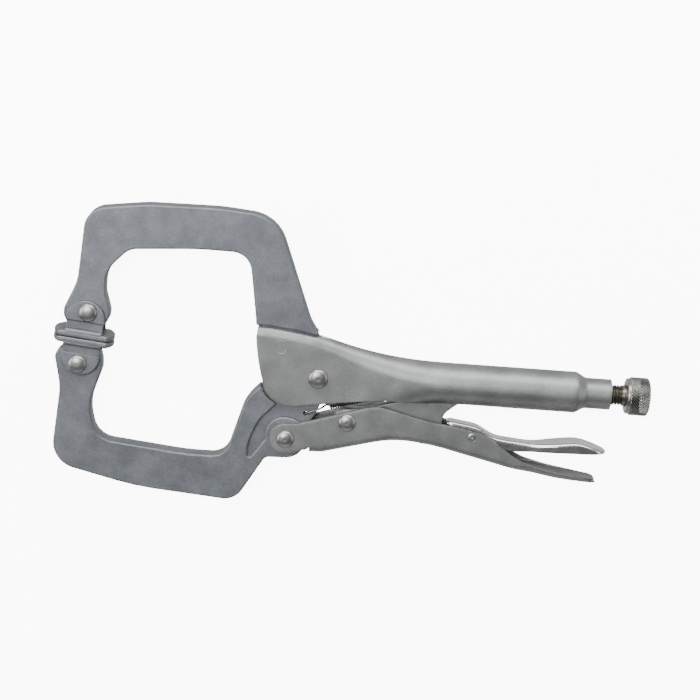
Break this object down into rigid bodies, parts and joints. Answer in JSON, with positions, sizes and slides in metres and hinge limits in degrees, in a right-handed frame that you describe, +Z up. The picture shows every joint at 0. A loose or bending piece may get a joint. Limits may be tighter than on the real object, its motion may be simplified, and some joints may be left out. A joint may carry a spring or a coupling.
{
  "type": "locking clamp pliers",
  "caption": "C-shaped jaws with swivel pads, closed by an over-centre toggle handle, set by a knurled screw knob and freed by a small lever.",
  "frame": {"origin": "under the middle of the tool's box as it lies flat on one side", "axes": "+X along the adjusting screw from the jaws towards the knob, +Y from the lower jaw towards the upper jaw, +Z up out of the side it lies on, along every pivot rivet"},
  "size_m": [0.2828, 0.1404, 0.0195],
  "materials": {
    "forged_steel": "forged, bead-blasted and satin nickel plated",
    "pressed_steel": "pressed sheet, bead-blasted and satin nickel plated",
    "pad_steel": "stamped and satin nickel plated, bright rolled bends",
    "rivet_steel": "polished and plated, dimpled domes",
    "lever_steel": "pressed sheet, bright on its edges",
    "knob_steel": "turned and cross knurled, plated",
    "screw_steel": "rolled thread, dark oxide and oil",
    "spring_steel": "drawn music wire, dark oxide"
  },
  "bodies": {
    "upper_body": {"upper_handle": "pressed_steel", "upper_jaw": "forged_steel", "jaw_fixing_rivet": "pressed_steel", "main_pivot_rivet": "rivet_steel", "upper_pad_rivet": "rivet_steel", "return_spring": "spring_steel"},
    "lower_jaw_body": {"lower_jaw": "forged_steel", "handle_pivot_rivet": "rivet_steel", "lower_pad_rivet": "rivet_steel"},
    "lower_handle_body": {"lower_handle": "pressed_steel", "link_pivot_rivet": "rivet_steel", "release_lever_rivet": "rivet_steel"},
    "toggle_link_body": {"toggle_link": "pressed_steel"},
    "release_lever_body": {"release_lever": "lever_steel"},
    "upper_pad_body": {"upper_swivel_pad": "pad_steel"},
    "lower_pad_body": {"lower_swivel_pad": "pad_steel"},
    "screw_body": {"adjusting_screw": "screw_steel"},
    "knob_body": {"adjusting_knob": "knob_steel"}
  },
  "joints": [
    {"name": "jaw_swing", "type": "hinge", "parent": "upper_body", "child": "lower_jaw_body", "pos_m": [-0.01573, -0.00722, 0.00975], "axis": [0, 0, 1], "range_deg": [0, 28], "deforming": ["return_spring"]},
    {"name": "handle_swing", "type": "hinge", "parent": "lower_jaw_body", "child": "lower_handle_body", "pos_m": [-0.02933, -0.03732, 0.00975], "axis": [0, 0, 1], "range_deg": [-75, 0]},
    {"name": "link_swing", "type": "hinge", "parent": "lower_handle_body", "child": "toggle_link_body", "pos_m": [-0.00063, -0.02721, 0.00975], "axis": [0, 0, 1], "range_deg": [0, 73]},
    {"name": "release_lever_swing", "type": "hinge", "parent": "lower_handle_body", "child": "release_lever_body", "pos_m": [0.05897, -0.03011, 0.00975], "axis": [0, 0, 1], "range_deg": [-8, 0]},
    {"name": "upper_pad_swivel", "type": "hinge", "parent": "upper_body", "child": "upper_pad_body", "pos_m": [-0.12492, 0.0171, 0.00975], "axis": [0, 0, 1], "range_deg": [0, 14]},
    {"name": "lower_pad_swivel", "type": "hinge", "parent": "lower_jaw_body", "child": "lower_pad_body", "pos_m": [-0.12903, -0.00783, 0.00975], "axis": [0, 0, 1], "range_deg": [-14, 0]},
    {"name": "knob_turn", "type": "hinge", "parent": "screw_body", "child": "knob_body", "pos_m": [0.13047, -0.00622, 0.00975], "axis": [1, 0, 0], "range_deg": [0, 2880.5]},
    {"name": "screw_travel", "type": "slide", "parent": "upper_body", "child": "screw_body", "axis": [1, 0, 0], "range_m": [0, 0.012]}
  ],
  "couplings": [
    {"joint": "handle_swing", "follows": "jaw_swing", "ratio": -2.65},
    {"joint": "link_swing", "follows": "jaw_swing", "ratio": 2.585},
    {"joint": "upper_pad_swivel", "follows": "jaw_swing", "ratio": 0.5},
    {"joint": "lower_pad_swivel", "follows": "jaw_swing", "ratio": -0.5},
    {"joint": "knob_turn", "follows": "screw_travel", "rad_per_m": 4188.8}
  ]
}
